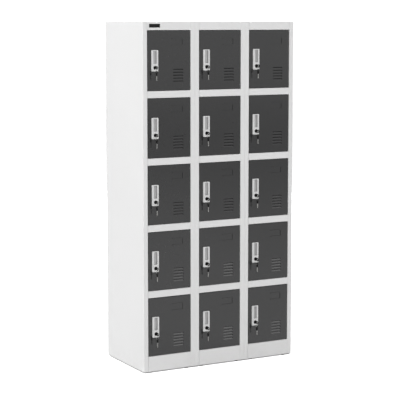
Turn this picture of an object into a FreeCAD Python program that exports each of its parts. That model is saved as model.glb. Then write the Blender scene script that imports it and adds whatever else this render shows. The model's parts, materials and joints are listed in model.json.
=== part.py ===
"""Steel parcel locker: three bolted columns of five compartments, each with a hinged door and a cam lock.

Frame: millimetres, +Z up, +X to the right when facing the doors, doors facing -Y, floor at Z = 0. The origin
is on the floor, at the middle of the whole object's footprint, keys included. Rows count from the top, columns
from the left.
"""

import FreeCAD
import Part
import math
import os

# ---- cabinet ----
locker_width = 900.0
locker_depth = 450.0
locker_height = 1820.0
columns = 3
rows = 5
sheet = 0.8            # sheet steel thickness
bend = 1.0             # inside radius of a fold
seam = 0.3             # gap at a butt seam between two sheets
post_width = 25.0      # front flange of a side wall
post_depth = 15.0      # how far the flange folds back
post_return = 10.0     # last fold, behind the flange
rear_flange = 15.0
header_height = 42.0
rail_height = 36.0
plinth_height = 86.0
foot_height = 5.0
rail_lip = 15.0        # fold along the lower edge of a header or rail
plinth_lip = 30.0      # the same fold at the base, wide enough for a foot
rail_return = 8.0
foot_diameter = 24.0
foot_inset = 45.0
foot_chamfer = 0.8

# ---- doors ----
door_gap = 2.5
door_flange = 13.0     # depth of the door's folded edges
door_return = 8.0
pin_diameter = 4.0
pin_play = 0.05        # radial
pin_inset = 5.0        # from the door's hinge edge, and from its face, to the hinge axis
pin_reach = 4.0        # how far a pin goes past the gap
pin_root = 8.0         # length of pin inside the door
washer_diameter = 9.0
washer_play = 0.1
stiffener_width_share = 0.12    # of the opening's width
stiffener_centre_share = 0.44
stiffener_depth = 9.0
stiffener_margin = 8.0

# ---- louvres and card holder; shares are of the opening's width or height, from its left and top edges ----
louvre_count = 5
louvre_pitch_share = 0.0491
louvre_left_share = 0.592
louvre_width_share = 0.232
louvre_drop = 9.0
louvre_depth = 5.0
louvre_top_share = 0.6411
card_left_share = 0.564
card_width_share = 0.24
card_top = 44.5
card_height = 29.5
card_lip = 3.2
card_proud = 2.2
card_slot = 1.2
card_corner = 3.0

# ---- handle and lock ----
lock_from_edge = 41.0  # lock axis, from the opening's left edge
handle_top_share = 0.325        # of the opening's height, from its top edge
handle_border = 9.25   # plate on each side of the finger recess
handle_foot = 8.4      # plate below the collar
handle_proud = 8.0
handle_corner = 4.0
handle_round = 2.0
grip_width = 19.0
grip_height = 66.0
grip_top = 4.2         # from the top of the handle plate
grip_depth = 16.0
grip_corner = 3.0
grip_wall = 1.8
fit_play = 0.3         # round a part that drops into a cut-out
collar_wall = 2.0      # round the plug
collar_gap = 3.6       # between the collar's inner end and the cam
nut_rim = 3.0          # of the lock nut, round the collar
nut_gap = 2.1          # between the lock nut's corner and the finger recess
nut_thickness = 4.0
plug_diameter = 17.0
plug_play = 0.05       # radial
plug_rim = 1.0         # of the plug's head, round the plug
plug_head_proud = 2.0
plug_chamfer = 0.5
cam_width = 15.0
cam_thickness = 2.0
cam_bite = 9.0         # how far the turned cam reaches behind the post
cam_gap = 2.0          # between the cam and the folds it passes behind
screw_diameter = 8.0
screw_head = 2.6

# ---- keys and ring ----
key_thickness = 2.4
bow_radius = 8.7
bow_hole = 4.6         # radius
bow_length = 17.0      # from the hole's centre to the shoulder
shoulder_half = 5.0
blade_half = 3.6
blade_thickness = 2.0
blade_length = 25.0
keyway_play = 0.2
keyway_depth = 10.0
blade_shown = 2.0      # blade between the plug and the bow of the key that is in it
ring_radius = 12.5
ring_wire = 0.6        # radius
ring_lean = 0.58       # share of the wire's direction, in the bow's hole, along +X and along -Z
spare_sag = 1.0        # spare key's hole centre under the wire

# ---- fasteners, wall fixing and nameplate ----
bolt_diameter = 6.0
bolt_play = 0.3        # radial
bolt_across = 10.0
bolt_head = 4.0
bolt_nut = 5.0         # hexagon of the cap nut
bolt_cap = 3.0         # closed dome past the hexagon
bolt_cap_round = 1.5
bolt_tip_play = 0.5    # between the thread's tip and the closed end of the bore
bolt_inset = 60.0      # from the front and the back of a wall
wall_hole_diameter = 7.0
wall_hole_spacing = 180.0
wall_hole_drop = 60.0
plate_left = 36.0
plate_top = 10.0
plate_width = 62.0
plate_height = 19.0
plate_thickness = 1.0
plate_corner = 2.0

# ---- worked out from the above ----
column_width = locker_width / columns
opening_width = column_width - 2 * post_width
opening_height = (locker_height - header_height - plinth_height - (rows - 1) * rail_height) / rows
stiffener_width = stiffener_width_share * opening_width
stiffener_centre = stiffener_centre_share * opening_width
louvre_pitch = louvre_pitch_share * opening_height
louvre_left = louvre_left_share * opening_width
louvre_width = louvre_width_share * opening_width
louvre_top = louvre_top_share * opening_height
card_left = card_left_share * opening_width
card_width = card_width_share * opening_width
plug_head_diameter = plug_diameter + 2 * plug_rim
collar_diameter = plug_diameter + 2 * collar_wall
nut_across = collar_diameter + 2 * nut_rim
handle_width = grip_width + 2 * handle_border
handle_top = handle_top_share * opening_height
lock_drop = handle_top + grip_top + grip_height + grip_wall + nut_across / math.sqrt(3) + nut_gap
handle_height = lock_drop - handle_top + collar_diameter / 2 + handle_foot
cam_length = lock_from_edge + cam_bite
cam_back = max(post_depth, door_flange) + cam_gap      # front face of the cam behind the door's face
collar_back = cam_back - collar_gap                    # inner end of the collar behind the door's face
key_eye = handle_proud + plug_head_proud + blade_shown + bow_length
ring_rise = math.sqrt(1 - ring_lean ** 2)
ring_side = math.sqrt(1 - 2 * ring_lean ** 2)
ring_drift_x = ring_radius * ring_lean ** 2 / ring_rise
ring_drift_y = ring_radius * ring_lean * ring_side / ring_rise
key_reach = key_eye + ring_drift_y + bow_radius
front = (key_reach - locker_depth) / 2
back = front + locker_depth
rear = back - sheet    # outside of the walls' rear flanges
top_under = locker_height - sheet
left = -locker_width / 2
hinge_x = column_width - post_width - door_gap - pin_inset
hinge_y = front + pin_inset

X = FreeCAD.Vector(1, 0, 0)
Y = FreeCAD.Vector(0, 1, 0)
Z = FreeCAD.Vector(0, 0, 1)


def vec(x, y, z):
    return FreeCAD.Vector(x, y, z)


def box(x0, x1, y0, y1, z0, z1):
    """Box between two corners."""
    return Part.makeBox(x1 - x0, y1 - y0, z1 - z0, vec(x0, y0, z0))


def rod(diameter, length, start, direction):
    return Part.makeCylinder(diameter / 2, length, start, direction)


def fuse(shapes):
    """One clean solid from touching or overlapping ones."""
    return shapes[0].multiFuse(shapes[1:]).removeSplitter()


def compound_of(shapes):
    return Part.makeCompound(shapes)


def column_left(column):
    return left + column * column_width


def opening_top(row):
    return locker_height - header_height - row * (opening_height + rail_height)


# ---- folded sheet ----

def shifted(points, distance):
    """A polyline moved to its own left by distance, with mitred corners."""
    normals = []
    for (u0, v0), (u1, v1) in zip(points, points[1:]):
        length = math.hypot(u1 - u0, v1 - v0)
        normals.append(((v0 - v1) / length, (u1 - u0) / length))
    normals = [normals[0]] + normals + [normals[-1]]
    moved = []
    for (u, v), (a, b), (c, d) in zip(points, normals, normals[1:]):
        scale = distance / (1 + a * c + b * d)
        moved.append((u + (a + c) * scale, v + (b + d) * scale))
    return moved


def turns_left(a, b, c):
    return (b[0] - a[0]) * (c[1] - b[1]) - (b[1] - a[1]) * (c[0] - b[0]) > 0


def rounded_run(points, radii, place):
    """Edges along a polyline whose inner corners are arcs; place turns (u, v) into a point in space."""
    edges = []
    start = points[0]
    for before, corner, after, radius in zip(points, points[1:], points[2:], radii):
        into = FreeCAD.Vector(corner[0] - before[0], corner[1] - before[1], 0).normalize()
        out = FreeCAD.Vector(after[0] - corner[0], after[1] - corner[1], 0).normalize()
        at = FreeCAD.Vector(corner[0], corner[1], 0)
        half = into.getAngle(out) / 2
        tangent = radius * math.tan(half)
        centre = at + (out - into).normalize() * (radius / math.cos(half))
        first = at - into * tangent
        middle = centre + (at - centre).normalize() * radius
        last = at + out * tangent
        edges.append(Part.LineSegment(place(*start), place(first.x, first.y)).toShape())
        arc = Part.Arc(place(first.x, first.y), place(middle.x, middle.y), place(last.x, last.y))
        edges.append(arc.toShape())
        start = (last.x, last.y)
    edges.append(Part.LineSegment(place(*start), place(*points[-1])).toShape())
    return edges


def folded(points, place, run):
    """Sheet of the set thickness, folded along points and extruded by run.

    The points are the face on the right of the path, so the steel lies to its left.
    """
    middle = shifted(points, sheet / 2)
    lefts = []
    rights = []
    for a, b, c in zip(middle, middle[1:], middle[2:]):
        to_left = turns_left(a, b, c)
        lefts.append(bend if to_left else bend + sheet)
        rights.append(bend + sheet if to_left else bend)
    near = shifted(middle, sheet / 2)
    far = shifted(middle, -sheet / 2)
    edges = rounded_run(near, lefts, place)
    edges.append(Part.LineSegment(place(*near[-1]), place(*far[-1])).toShape())
    edges += rounded_run(far[::-1], rights[::-1], place)
    edges.append(Part.LineSegment(place(*far[0]), place(*near[0])).toShape())
    return Part.Face(Part.Wire(Part.__sortEdges__(edges))).extrude(run)


# ---- cabinet ----

def bolt_spots():
    """Y and Z of the bolts that hold two neighbouring walls together."""
    heights = (opening_top(0) - opening_height / 2, opening_top(rows - 1) - opening_height / 2)
    return [(y, z) for y in (front + bolt_inset, rear - bolt_inset) for z in heights]


def side_wall(column, on_right):
    """Wall with its front post and rear flange; mirrored for the right-hand side of a column."""
    outer = column_left(column)
    points = [(rear_flange, rear), (0, rear), (0, front), (post_width, front),
              (post_width, front + post_depth), (post_width - post_return, front + post_depth)]
    wall = folded(points, lambda u, v: vec(u, v, foot_height), Z * (top_under - foot_height))
    if on_right:
        wall = wall.mirror(vec(column_width / 2, 0, 0), X)
    wall.translate(X * outer)
    joined = column > 0 if not on_right else column < columns - 1
    if joined:
        face_x = outer + (column_width if on_right else 0)
        for y, z in bolt_spots():
            hole = rod(bolt_diameter + 2 * bolt_play, 4 * sheet, vec(face_x - 2 * sheet, y, z), X)
            wall = wall.cut(hole)
    return wall


def front_fold(x_start, top, height, lip):
    """Header, rail or plinth between the posts: short top flat, front face, lip back and a return up."""
    points = [(front + post_depth + rail_lip, top), (front, top), (front, top - height),
              (front + lip, top - height), (front + lip, top - height + rail_return)]
    x0 = x_start + post_width + seam
    return folded(points, lambda u, v: vec(x0, u, v), X * (opening_width - 2 * seam))


def back_strip(x_start, near, low, high):
    """Upright or flat strip against the rear flanges, short of the walls' rear folds."""
    clear = sheet + bend + seam
    return box(x_start + clear, x_start + column_width - clear, near, rear - sheet, low, high)


def tray(x_start, top, height, lip):
    """Shelf whose front edge is a rail, with flanges folded down against the walls and the back."""
    inner_left = x_start + sheet
    inner_right = x_start + column_width - sheet
    notch = front + post_depth + seam
    side_end = rear - sheet - bend - seam
    drop = top - rear_flange
    flat = box(inner_left, inner_right, notch, side_end, top - sheet, top)
    left_fold = box(inner_left, inner_left + sheet, notch, side_end, drop, top)
    right_fold = box(inner_right - sheet, inner_right, notch, side_end, drop, top)
    flat_end = back_strip(x_start, side_end, top - sheet, top)
    back_fold = back_strip(x_start, rear - 2 * sheet, drop, top)
    return fuse([front_fold(x_start, top, height, lip), flat, left_fold, right_fold, flat_end, back_fold])


def hinge_hole(x_start, level):
    """Tool that bores a sheet for a hinge pin."""
    hole_diameter = pin_diameter + 2 * pin_play
    return rod(hole_diameter, 4 * sheet, vec(x_start + hinge_x, hinge_y, level - 2 * sheet), Z)


def shelf(column, row):
    """Shelf under a compartment; its rail holds the pins of the doors above and below."""
    x0 = column_left(column)
    top = opening_top(row) - opening_height
    body = tray(x0, top, rail_height, rail_lip)
    body = body.cut(hinge_hole(x0, top))
    return body.cut(hinge_hole(x0, top - rail_height))


def top_panel(column):
    """Roof sheet over the walls, with the header folded down between the posts."""
    x0 = column_left(column)
    roof = box(x0, x0 + column_width, front, back, top_under, locker_height)
    body = fuse([tray(x0, locker_height, header_height, rail_lip), roof])
    return body.cut(hinge_hole(x0, locker_height - header_height))


def base_tray(column):
    """Lowest shelf with the plinth folded down, and flanges at the floor that the feet screw to."""
    x0 = column_left(column)
    body = tray(x0, plinth_height, plinth_height - foot_height, plinth_lip)
    skirt = back_strip(x0, rear - 2 * sheet, foot_height, plinth_height)
    ledge = back_strip(x0, rear - sheet - plinth_lip, foot_height, foot_height + sheet)
    return fuse([body, skirt, ledge]).cut(hinge_hole(x0, plinth_height))


def wall_hole_height():
    return locker_height - wall_hole_drop


def back_panel(column):
    """Flat sheet behind a column, with two holes for fixing it to a building wall."""
    x0 = column_left(column)
    panel = box(x0, x0 + column_width, rear, back, foot_height, top_under)
    for side in (-1, 1):
        x = x0 + column_width / 2 + side * wall_hole_spacing / 2
        panel = panel.cut(rod(wall_hole_diameter, 4 * sheet, vec(x, rear - sheet, wall_hole_height()), Y))
    return panel


def feet():
    """Plastic glides, four under each column."""
    pads = []
    for column in range(columns):
        for x in (foot_inset, column_width - foot_inset):
            for y in (front + plinth_lip / 2, rear - sheet - plinth_lip / 2):
                pad = rod(foot_diameter, foot_height, vec(column_left(column) + x, y, 0), Z)
                sole = [edge for edge in pad.Edges if edge.BoundBox.ZMax < foot_chamfer]
                pads.append(pad.makeChamfer(foot_chamfer, sole))
    return compound_of(pads)


def hexagon(across, thickness, start, direction):
    """Hexagonal prism, across flats."""
    radius = across / math.sqrt(3)
    corners = [vec(radius * math.cos(math.radians(60 * k)), radius * math.sin(math.radians(60 * k)), 0)
               for k in range(7)]
    prism = Part.Face(Part.makePolygon(corners)).extrude(Z * thickness)
    prism.Placement = FreeCAD.Placement(start, FreeCAD.Rotation(Z, direction))
    return prism


def joining_bolts():
    """Bolt and cap nut at each place where two columns are held together."""
    pieces = []
    for column in range(1, columns):
        face_x = column_left(column)
        for y, z in bolt_spots():
            head = hexagon(bolt_across, bolt_head, vec(face_x - sheet - bolt_head, y, z), X)
            length = 2 * sheet + bolt_nut
            shank = rod(bolt_diameter, length, vec(face_x - sheet, y, z), X)
            bore = rod(bolt_diameter, length + bolt_tip_play, vec(face_x - sheet, y, z), X)
            nut = hexagon(bolt_across, bolt_nut, vec(face_x + sheet, y, z), X)
            dome = rod(bolt_across, bolt_cap, vec(face_x + sheet + bolt_nut, y, z), X)
            crown = [edge for edge in dome.Edges if edge.BoundBox.XMin > face_x + sheet + bolt_nut]
            dome = dome.makeFillet(bolt_cap_round, crown)
            pieces.append(fuse([head, shank]))
            pieces.append(fuse([nut, dome]).cut(bore))
    return compound_of(pieces)


def nameplate():
    """Blank plate on the first column's header."""
    x0 = left + plate_left
    z0 = locker_height - plate_top - plate_height
    body = box(x0, x0 + plate_width, front - plate_thickness, front, z0, z0 + plate_height)
    corners = [edge for edge in body.Edges if abs(edge.tangentAt(0).y) > 0.9]
    return body.makeFillet(plate_corner, corners)


# ---- door; built for column 0 and row 0, then moved ----

def door_limits():
    """Left, right, bottom and top of the first door's face."""
    x0 = left + post_width + door_gap
    x1 = left + column_width - post_width - door_gap
    z1 = opening_top(0) - door_gap
    z0 = opening_top(0) - opening_height + door_gap
    return x0, x1, z0, z1


def door_pan():
    """Face with four folded edges, and returns along the two upright ones."""
    x0, x1, z0, z1 = door_limits()
    outer = box(x0, x1, front, front + door_flange, z0, z1)
    keep_square = front + door_flange - sheet
    round_edges = [edge for edge in outer.Edges if edge.CenterOfMass.y < keep_square]
    outer = outer.makeFillet(bend + sheet, round_edges)
    inner = box(x0 + sheet, x1 - sheet, front + sheet, front + 2 * door_flange, z0 + sheet, z1 - sheet)
    round_edges = [edge for edge in inner.Edges if edge.CenterOfMass.y < front + 1.5 * door_flange]
    inner = inner.makeFillet(bend, round_edges)
    level = front + door_flange - sheet
    strip_left = box(x0 + sheet / 2, x0 + door_return, level, level + sheet, z0 + 2 * bend, z1 - 2 * bend)
    strip_right = box(x1 - door_return, x1 - sheet / 2, level, level + sheet, z0 + 2 * bend, z1 - 2 * bend)
    return fuse([outer.cut(inner), strip_left, strip_right])


def stiffener():
    """Channel welded behind the face."""
    z0, z1 = door_limits()[2:]
    middle = left + post_width + stiffener_centre
    low = z0 + sheet + stiffener_margin
    y0 = front + sheet
    y1 = y0 + stiffener_depth
    x0 = middle - stiffener_width / 2
    x1 = middle + stiffener_width / 2
    foot = door_return / 2
    points = [(x0 - foot, y0), (x0, y0), (x0, y1), (x1, y1), (x1, y0), (x1 + foot, y0)]
    return folded(points, lambda u, v: vec(u, v, low), Z * (z1 - sheet - stiffener_margin - low))


def wedge(x0, x1, top, drop, depth):
    """Prism that starts flush at its lower edge and is deepest at its top."""
    flush = vec(x0, front, top)
    corners = [flush, vec(x0, front + depth, top), vec(x0, front, top - drop), flush]
    return Part.Face(Part.makePolygon(corners)).extrude(X * (x1 - x0))


def add_louvres(door):
    """Cut each slot and weld in the scoop that is pressed inwards below it."""
    x0 = left + post_width + louvre_left
    x1 = x0 + louvre_width
    steepness = louvre_drop / louvre_depth
    for k in range(louvre_count):
        top = opening_top(0) - louvre_top - k * louvre_pitch
        hollow = wedge(x0, x1, top, louvre_drop, louvre_depth)
        shell = wedge(x0 - sheet, x1 + sheet, top, louvre_drop + sheet * steepness, louvre_depth + sheet)
        door = fuse([door, shell]).cut(hollow)
    return door


def card_holder():
    """Raised frame, open on its left, whose lips hold a card against the door."""
    x0 = left + post_width + card_left
    x1 = x0 + card_width
    z1 = opening_top(0) - card_top
    z0 = z1 - card_height
    wall = card_lip + sheet
    frame = box(x0, x1 + wall, front - card_proud, front, z0 - wall, z1 + wall)
    corners = [edge for edge in frame.Edges
               if abs(edge.tangentAt(0).y) > 0.9 and edge.CenterOfMass.x > x1]
    frame = frame.makeFillet(card_corner, corners)
    lips = box(x0, x1 + card_lip, front - card_slot, front, z0 - card_lip, z1 + card_lip)
    window = box(x0, x1, front - 2 * card_proud, front, z0, z1)
    return frame.cut(lips).cut(window)


def hinge_pins():
    """Pins through the top and bottom folds, with a washer that carries the door."""
    x = left + hinge_x
    z0, z1 = door_limits()[2:]
    long = pin_root + door_gap + pin_reach
    upper = rod(pin_diameter, long, vec(x, hinge_y, z1 - pin_root), Z)
    lower = rod(pin_diameter, long, vec(x, hinge_y, z0 - door_gap - pin_reach), Z)
    washer = rod(washer_diameter, door_gap - washer_play, vec(x, hinge_y, z0 - door_gap + washer_play), Z)
    return [upper, lower, washer]


def lock_point(behind):
    """Point on the first door's lock axis, a distance behind the face."""
    return vec(left + post_width + lock_from_edge, front + behind, opening_top(0) - lock_drop)


def grip_box(extra):
    """Finger recess, grown by extra on each side and at its floor."""
    x = left + post_width + lock_from_edge
    z1 = opening_top(0) - handle_top - grip_top
    half = grip_width / 2 + extra
    body = box(x - half, x + half, front - handle_proud, front - handle_proud + grip_depth + extra,
               z1 - grip_height - extra, z1 + extra)
    uprights = [edge for edge in body.Edges if abs(edge.tangentAt(0).y) > 0.9]
    return body.makeFillet(grip_corner + extra, uprights)


def door():
    """Door with its louvres, card holder, stiffener and pins, cut out for the handle and lock."""
    body = add_louvres(door_pan())
    body = body.cut(grip_box(grip_wall + fit_play))
    body = body.cut(rod(collar_diameter + 2 * fit_play, 4 * sheet, lock_point(-sheet), Y))
    return fuse([body, card_holder(), stiffener()] + hinge_pins())


# ---- handle and lock; also for column 0 and row 0 ----

def handle():
    """Handle plate with its finger recess and the collar that the lock sits in."""
    x = left + post_width + lock_from_edge
    z1 = opening_top(0) - handle_top
    plate = box(x - handle_width / 2, x + handle_width / 2, front - handle_proud, front,
                z1 - handle_height, z1)
    plate = plate.makeFillet(handle_corner, [e for e in plate.Edges if abs(e.tangentAt(0).y) > 0.9])
    rim = [e for e in plate.Edges if e.BoundBox.YMax < front - handle_proud + 0.01]
    plate = plate.makeFillet(handle_round, rim)
    collar = rod(collar_diameter, handle_proud / 2 + collar_back, lock_point(-handle_proud / 2), Y)
    cup = grip_box(grip_wall)
    cup = cup.cut(box(x - handle_width, x + handle_width, front - 2 * handle_proud, front - handle_proud / 2,
                      z1 - handle_height, z1))
    body = fuse([plate, cup, collar])
    bore = rod(plug_diameter + 2 * plug_play, handle_proud + collar_back, lock_point(-handle_proud), Y)
    return body.cut(grip_box(0)).cut(bore)


def lock_nut():
    nut = hexagon(nut_across, nut_thickness, lock_point(sheet), Y)
    return nut.cut(rod(collar_diameter, nut_thickness, lock_point(sheet), Y))


def key_flat():
    """Key in the YZ plane, with its hole at the origin and its blade along +Y."""
    shoulder = vec(0, bow_length, shoulder_half)
    reach = math.hypot(bow_length, shoulder_half)
    lean = math.atan2(shoulder_half, bow_length) + math.acos(bow_radius / reach)
    touch = vec(0, bow_radius * math.cos(lean), bow_radius * math.sin(lean))
    lower = [vec(0, point.y, -point.z) for point in (touch, shoulder)]
    outline = [Part.Arc(touch, vec(0, -bow_radius, 0), lower[0]).toShape(),
               Part.LineSegment(lower[0], lower[1]).toShape(),
               Part.LineSegment(lower[1], shoulder).toShape(),
               Part.LineSegment(shoulder, touch).toShape()]
    bow = Part.Face(Part.Wire(outline)).extrude(X * key_thickness)
    bow.translate(X * (-key_thickness / 2))
    bow = bow.cut(rod(2 * bow_hole, 2 * key_thickness, vec(-key_thickness, 0, 0), X))
    return bow


def blade(length):
    """Steel blade that starts at the bow's shoulder."""
    return box(-blade_thickness / 2, blade_thickness / 2, bow_length, bow_length + length,
               -blade_half, blade_half)


def key_eye_point():
    return lock_point(-key_eye)


def inserted_key():
    """Key whose blade fills the plug's keyway."""
    key = fuse([key_flat(), blade(blade_shown + keyway_depth)])
    key.translate(key_eye_point())
    return key


def plug():
    """Lock plug with its head and keyway; its inner end carries the cam."""
    under_head = -handle_proud - plug_play
    head = rod(plug_head_diameter, plug_head_proud - plug_play, lock_point(-handle_proud - plug_head_proud), Y)
    rim = [edge for edge in head.Edges if edge.BoundBox.YMax < head.BoundBox.YMin + plug_play]
    head = head.makeChamfer(plug_chamfer, rim)
    core = rod(plug_diameter, cam_back - under_head, lock_point(under_head), Y)
    slot = box(-blade_thickness / 2 - keyway_play, blade_thickness / 2 + keyway_play,
               0, keyway_depth, -blade_half - keyway_play, blade_half + keyway_play)
    slot.translate(lock_point(-handle_proud - plug_head_proud))
    return fuse([head, core]).cut(slot)


def cam():
    """Flat arm that hangs down when the lock is open."""
    centre = lock_point(cam_back)
    arm = box(-cam_width / 2, cam_width / 2, 0, cam_thickness, -cam_length + cam_width / 2, 0)
    arm.translate(centre)
    hub = rod(cam_width, cam_thickness, centre, Y)
    tip = rod(cam_width, cam_thickness, centre - Z * (cam_length - cam_width / 2), Y)
    return fuse([arm, hub, tip])


def cam_screw():
    return rod(screw_diameter, screw_head, lock_point(cam_back + cam_thickness), Y)


def ring_centre():
    """Ring's centre: its wire runs through the eye of the key in the lock, leaning down and forward."""
    return key_eye_point() + vec(-ring_drift_x, -ring_drift_y, -ring_radius * ring_rise)


def key_ring():
    flat = math.hypot(ring_lean, ring_side)
    normal = vec(ring_side / flat, -ring_lean / flat, 0)
    return Part.makeTorus(ring_radius, ring_wire, ring_centre(), normal)


def spare_key():
    """Second key, hanging from the lowest point of the ring."""
    key = fuse([key_flat(), blade(blade_length)])
    key.rotate(vec(0, 0, 0), X, -90)
    key.translate(ring_centre() - Z * (ring_radius + spare_sag))
    return key


# ---- export ----

def moved(shape, row, column):
    copy = shape.copy()
    copy.translate(vec(column * column_width, 0, -row * (opening_height + rail_height)))
    return copy


def cabinet_nodes():
    nodes = {}
    for column in range(columns):
        nodes[f"side_wall_c{column + 1}_left"] = side_wall(column, False)
        nodes[f"side_wall_c{column + 1}_right"] = side_wall(column, True)
        nodes[f"back_panel_c{column + 1}"] = back_panel(column)
    nodes["top_panels"] = compound_of([top_panel(column) for column in range(columns)])
    nodes["base_trays"] = compound_of([base_tray(column) for column in range(columns)])
    nodes["shelves"] = compound_of([shelf(column, row) for column in range(columns) for row in range(rows - 1)])
    nodes["joining_bolts"] = joining_bolts()
    nodes["feet"] = feet()
    nodes["nameplate"] = nameplate()
    return nodes


def door_nodes():
    panel = door()
    housing = compound_of([handle(), lock_nut(), key_ring(), spare_key()])
    lock = compound_of([plug(), cam(), cam_screw(), inserted_key()])
    nodes = {}
    for row in range(rows):
        for column in range(columns):
            name = f"r{row + 1}_c{column + 1}"
            nodes[f"door_{name}"] = moved(panel, row, column)
            nodes[f"handle_{name}"] = moved(housing, row, column)
            nodes[f"lock_{name}"] = moved(lock, row, column)
    return nodes


os.makedirs("parts", exist_ok=True)
for node, shape in {**cabinet_nodes(), **door_nodes()}.items():
    shape.exportStep(f"parts/{node}.step")
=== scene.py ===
"""Looks of a steel parcel locker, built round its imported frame.

The folded steel of the cabinet and the doors keeps its own shape and gets powder coat. The moulded handles, the
cam locks, the keys and their rings are made here, one set for each door, and ride on the bodies that carry them.
Lengths are metres. A lock's own frame has its origin where the lock's axis meets the door's face, with X to the
right, Y into the locker and Z up.
"""

import json
import logging
import math
from dataclasses import dataclass, field
from enum import Enum
from typing import Iterable, Sequence

import bmesh
import bpy
from mathutils import Matrix, Vector


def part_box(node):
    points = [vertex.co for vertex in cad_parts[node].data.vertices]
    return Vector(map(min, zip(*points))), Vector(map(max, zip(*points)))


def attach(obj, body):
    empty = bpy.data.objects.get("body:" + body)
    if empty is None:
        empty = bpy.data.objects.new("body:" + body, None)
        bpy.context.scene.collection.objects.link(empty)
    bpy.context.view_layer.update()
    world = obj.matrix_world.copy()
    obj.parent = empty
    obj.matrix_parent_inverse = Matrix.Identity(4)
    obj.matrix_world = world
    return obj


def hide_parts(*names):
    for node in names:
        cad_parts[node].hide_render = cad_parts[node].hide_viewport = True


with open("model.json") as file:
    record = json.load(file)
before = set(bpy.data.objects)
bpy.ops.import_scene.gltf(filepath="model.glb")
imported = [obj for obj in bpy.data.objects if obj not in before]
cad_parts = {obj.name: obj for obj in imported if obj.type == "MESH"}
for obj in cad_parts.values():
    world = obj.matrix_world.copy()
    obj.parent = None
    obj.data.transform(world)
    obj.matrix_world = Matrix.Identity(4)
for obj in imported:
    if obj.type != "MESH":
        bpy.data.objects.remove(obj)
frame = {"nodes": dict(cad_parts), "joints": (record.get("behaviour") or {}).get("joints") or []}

LOG = logging.getLogger("parcel_locker")
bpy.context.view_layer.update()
Point = tuple[float, float, float]
Colour = tuple[float, float, float]
Loop = list[Point]


class Slot(Enum):
    """Names of the record's material slots."""

    CABINET = "cabinet_paint"
    HANDLE = "handle_plastic"
    LOCK = "lock_black"
    PLATE = "nameplate_black"


# ---------------------------------------------------------------- shader groups


class ShaderGroup:
    """A shader node group under construction, with named inputs and outputs."""

    def __init__(self, name: str, inputs: dict[str, tuple[str, object]], outputs: dict[str, str]) -> None:
        """Make the group and its sockets.

        Args:
            name: the group's name.
            inputs: socket name to its type, "float" or "color", and its default.
            outputs: socket name to its type.
        """
        kinds = {"float": "NodeSocketFloat", "color": "NodeSocketColor"}
        self.tree = bpy.data.node_groups.new(name, "ShaderNodeTree")
        for label, (kind, default) in inputs.items():
            socket = self.tree.interface.new_socket(label, in_out="INPUT", socket_type=kinds[kind])
            socket.default_value = (*default, 1.0) if kind == "color" else default
        for label, kind in outputs.items():
            self.tree.interface.new_socket(label, in_out="OUTPUT", socket_type=kinds[kind])
        self.given = self.tree.nodes.new("NodeGroupInput").outputs
        self.result = self.tree.nodes.new("NodeGroupOutput").inputs

    def node(self, kind: str, settings: dict[str, object] | None = None, **links: object) -> bpy.types.Node:
        """Add a node.

        Args:
            kind: Blender's node type.
            settings: attributes of the node to set.
            links: input socket, with underscores for spaces, to an output socket or a plain value.

        Returns:
            The new node.
        """
        made = self.tree.nodes.new(kind)
        for name, value in (settings or {}).items():
            setattr(made, name, value)
        for name, value in links.items():
            connect(self.tree, made.inputs[socket_index(made, name)], value)
        return made

    def math(self, operation: str, first: object, second: object = 0.0) -> bpy.types.NodeSocket:
        """Output of a Math node on two sockets or numbers."""
        return math_output(self.tree, first, second, operation)

    def ramp(self, value: object, low: float, high: float, to_low: object = 0.0,
             to_high: object = 1.0) -> bpy.types.NodeSocket:
        """Smooth step of a value from one range into another."""
        made = self.tree.nodes.new("ShaderNodeMapRange")
        made.interpolation_type = "SMOOTHSTEP"
        for index, item in enumerate((value, low, high, to_low, to_high)):
            connect(self.tree, made.inputs[index], item)
        return made.outputs[0]

    def blend(self, share: object, first: object, second: object, how: str = "MIX") -> bpy.types.NodeSocket:
        """Colour mix of two sockets or colours."""
        made = self.tree.nodes.new("ShaderNodeMix")
        made.data_type = "RGBA"
        made.blend_type = how
        connect(self.tree, made.inputs[0], share)
        connect(self.tree, made.inputs[6], first)
        connect(self.tree, made.inputs[7], second)
        return made.outputs[2]

    def noise(self, where: object, scale: object, detail: float = 2.0) -> bpy.types.NodeSocket:
        """Grey noise at a place."""
        made = self.tree.nodes.new("ShaderNodeTexNoise")
        connect(self.tree, made.inputs["Vector"], where)
        connect(self.tree, made.inputs["Scale"], scale)
        made.inputs["Detail"].default_value = detail
        return made.outputs[0]

    def place(self, stretch: Point = (1.0, 1.0, 1.0)) -> bpy.types.NodeSocket:
        """Object coordinates, scaled along each axis."""
        where = self.tree.nodes.new("ShaderNodeTexCoord").outputs["Object"]
        made = self.tree.nodes.new("ShaderNodeMapping")
        connect(self.tree, made.inputs["Vector"], where)
        made.inputs["Scale"].default_value = stretch
        return made.outputs[0]

    def give(self, **results: bpy.types.NodeSocket) -> bpy.types.NodeTree:
        """Wire the outputs and hand over the finished group."""
        for name, socket in results.items():
            self.tree.links.new(socket, self.result[name])
        return self.tree


def socket_index(node: bpy.types.Node, name: str) -> str:
    """Input socket name of a node, with underscores read as spaces."""
    return name if name in node.inputs else name.replace("_", " ")


def connect(tree: bpy.types.NodeTree, socket: bpy.types.NodeSocket, value: object) -> None:
    """Link a socket to an output, or set it to a plain value."""
    if isinstance(value, bpy.types.NodeSocket):
        tree.links.new(value, socket)
    elif socket.type == "RGBA" and len(value) == 3:
        socket.default_value = (*value, 1.0)
    else:
        socket.default_value = value


def math_output(tree: bpy.types.NodeTree, first: object, second: object,
                operation: str = "MULTIPLY") -> bpy.types.NodeSocket:
    """Output of a new Math node on two sockets or numbers."""
    made = tree.nodes.new("ShaderNodeMath")
    made.operation = operation
    connect(tree, made.inputs[0], first)
    connect(tree, made.inputs[1], second)
    return made.outputs[0]


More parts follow.
